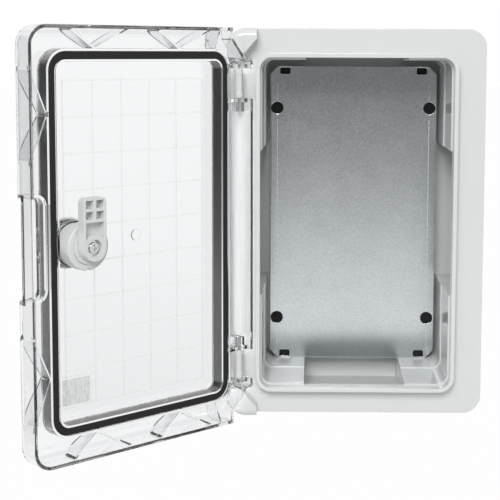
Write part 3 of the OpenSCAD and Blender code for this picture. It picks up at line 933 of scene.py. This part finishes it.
def even_world(fill):
    """White background, with even fill light for the surfaces."""
    world = bpy.data.worlds.new("studio")
    world.use_nodes = True
    graph = Graph(world.node_tree)
    graph.tree.nodes.clear()
    light = graph.add("ShaderNodeBackground", None, {"Color": WHITE, "Strength": fill})
    white = graph.add("ShaderNodeBackground", None, {"Color": WHITE, "Strength": 1.0})
    mixed = graph.add("ShaderNodeMixShader", None, {0: seen_ray(graph), 1: light, 2: white})
    end = graph.tree.nodes.new("ShaderNodeOutputWorld")
    graph.put(end.inputs["Surface"], mixed)
    bpy.context.scene.world = world


def soft_lamp(name, place, aim, size, power):
    """Square area lamp turned towards a point."""
    lamp = bpy.data.lights.new(name, "AREA")
    lamp.shape = "SQUARE"
    lamp.size = size
    lamp.energy = power
    piece = link(name, lamp)
    piece.location = place
    piece.rotation_euler = (Vector(aim) - Vector(place)).to_track_quat("-Z", "Y").to_euler()


def photo_camera(lens):
    """Camera at the photograph's place, a little above the cabinet's middle."""
    level = Vector((math.sin(CAMERA_YAW), math.cos(CAMERA_YAW), 0))
    ahead = level * math.cos(CAMERA_PITCH) - Vector((0, 0, math.sin(CAMERA_PITCH)))
    side = Vector((level.y, -level.x, 0))
    up = side.cross(ahead)
    right = side * math.cos(CAMERA_ROLL) + up * math.sin(CAMERA_ROLL)
    top = up * math.cos(CAMERA_ROLL) - side * math.sin(CAMERA_ROLL)
    camera = bpy.data.cameras.new("camera")
    camera.lens = lens
    camera.sensor_width = 36
    camera.shift_x, camera.shift_y = CAMERA_SHIFT
    camera.clip_start = 0.01
    piece = link("camera", camera)
    turn = Matrix((right, top, -ahead)).transposed().to_4x4()
    piece.matrix_world = Matrix.Translation(CAMERA_PLACE) @ turn
    bpy.context.scene.camera = piece


class CABINET_OT_set_stage(bpy.types.Operator):
    """Lay the floor, stand the screens, light the cabinet and place the camera"""

    bl_idname = "cabinet.set_stage"
    bl_label = "Set the stage"

    def execute(self, context):
        colours = context.scene.cabinet_colours
        stage = context.scene.cabinet_stage
        low = -stage.floor_drop
        corners = ((-REACH, -REACH), (REACH, -REACH), (REACH, REACH), (-REACH, REACH))
        floor = plane("floor", [(x, y, low) for x, y in corners])
        paint(floor, floor_paint(colours.floor))
        dim = screen_paint("dim_screen", -0.85, 0.1, DIM_TONES)
        pale = screen_paint("pale_screen", -0.95, 0.1, PALE_TONES)
        for name, start, stop, tone in (
                ("front_screen", (-REACH, SCREEN_FRONT), (REACH, SCREEN_FRONT), dim),
                ("right_screen", (SCREEN_ASIDE, SCREEN_FRONT), (SCREEN_ASIDE, SCREEN_END), pale),
                ("left_screen", (-SCREEN_ASIDE, SCREEN_END), (-SCREEN_ASIDE, SCREEN_FRONT), dim)):
            screen = plane(name, [
                (*start, SCREEN_FOOT), (*stop, SCREEN_FOOT), (*stop, SCREEN_TOP), (*start, SCREEN_TOP)])
            paint(screen, tone)
            screen.visible_camera = False
            screen.visible_diffuse = False
            screen.visible_shadow = False
        even_world(stage.fill)
        soft_lamp("key_lamp", KEY_PLACE, KEY_AIM, KEY_SIZE, stage.key)
        photo_camera(stage.lens)
        context.scene.view_settings.view_transform = "Standard"
        context.scene.cycles.glossy_bounces = GLOSSY_BOUNCES
        return {"FINISHED"}


STEPS = (CABINET_OT_mould_box, CABINET_OT_fit_plate, CABINET_OT_hang_door, CABINET_OT_mark_window,
         CABINET_OT_fit_lock, CABINET_OT_set_stage)
GROUPS = {
    "cabinet_sizes": CabinetSizes,
    "cabinet_colours": CabinetColours,
    "cabinet_stage": CabinetStage,
}


class CABINET_PT_panel(bpy.types.Panel):
    """Sizes, colours and steps of the cabinet"""

    bl_idname = "CABINET_PT_panel"
    bl_label = "Electrical Cabinet"
    bl_space_type = "VIEW_3D"
    bl_region_type = "UI"
    bl_category = "Cabinet"

    def draw(self, context):
        for group, kind in GROUPS.items():
            box = self.layout.box()
            for name in kind.__annotations__:
                box.prop(getattr(context.scene, group), name)
        for step in STEPS:
            self.layout.operator(step.bl_idname)


def register():
    for kind in (*GROUPS.values(), *STEPS, CABINET_PT_panel):
        bpy.utils.register_class(kind)
    for name, kind in GROUPS.items():
        setattr(bpy.types.Scene, name, PointerProperty(type=kind))


def unregister():
    for name in GROUPS:
        delattr(bpy.types.Scene, name)
    for kind in (CABINET_PT_panel, *reversed(STEPS), *reversed(tuple(GROUPS.values()))):
        bpy.utils.unregister_class(kind)


def main():
    register()
    bpy.ops.cabinet.mould_box()
    bpy.ops.cabinet.fit_plate()
    bpy.ops.cabinet.hang_door()
    bpy.ops.cabinet.mark_window()
    bpy.ops.cabinet.fit_lock()
    bpy.ops.cabinet.set_stage()


if __name__ == "__main__":
    main()
